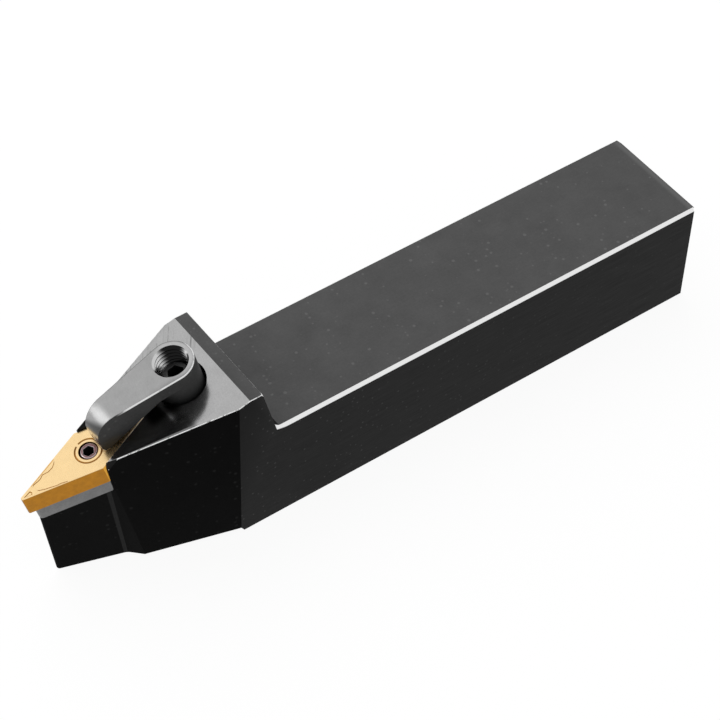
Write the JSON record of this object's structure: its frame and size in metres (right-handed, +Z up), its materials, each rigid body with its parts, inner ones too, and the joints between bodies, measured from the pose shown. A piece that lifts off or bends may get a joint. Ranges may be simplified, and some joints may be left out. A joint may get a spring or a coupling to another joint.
{
  "type": "turning tool holder",
  "caption": "Square shank turning tool holder with a rhombic gold insert tilted up on a shim, a lock pin in its hole and a finger clamp that presses it down.",
  "frame": {"origin": "on the shank's underside, below the middle of the overall length and width", "axes": "+X from the insert's tip to the rear end of the shank, -Y towards the side that the picture shows, +Z up from the underside"},
  "size_m": [0.15, 0.025, 0.0427],
  "materials": {
    "holder_steel": "blackened satin steel, worn bright on its edges and grey on the clamp's deck",
    "clamp_steel": "satin hardened steel",
    "screw_steel": "dull hardened steel",
    "shim_carbide": "ground bare carbide",
    "insert_coating": "gold titanium nitride coating on ground carbide"
  },
  "bodies": {
    "holder": {"holder": "holder_steel", "shim": "shim_carbide", "insert": "insert_coating"},
    "clamp_stud": {"clamp_stud": "screw_steel"},
    "clamp": {"clamp": "clamp_steel"},
    "lock_pin": {"lock_pin": "screw_steel"}
  },
  "joints": [
    {"name": "clamp_lift", "type": "slide", "parent": "holder", "child": "clamp", "axis": [-0.2588, 0, 0.9659], "range_m": [0, 0.004]},
    {"name": "clamp_stud_turn", "type": "hinge", "parent": "holder", "child": "clamp_stud", "pos_m": [-0.04052, 0, 0.03424], "axis": [-0.2588, 0, 0.9659], "range_deg": [0, 720]},
    {"name": "lock_pin_turn", "type": "hinge", "parent": "holder", "child": "lock_pin", "pos_m": [-0.0606, 0, 0.02886], "axis": [-0.2588, 0, 0.9659], "range_deg": [0, 180]}
  ],
  "couplings": [
    {"joint": "clamp_stud_turn", "follows": "clamp_lift", "rad_per_m": 3141.5}
  ]
}
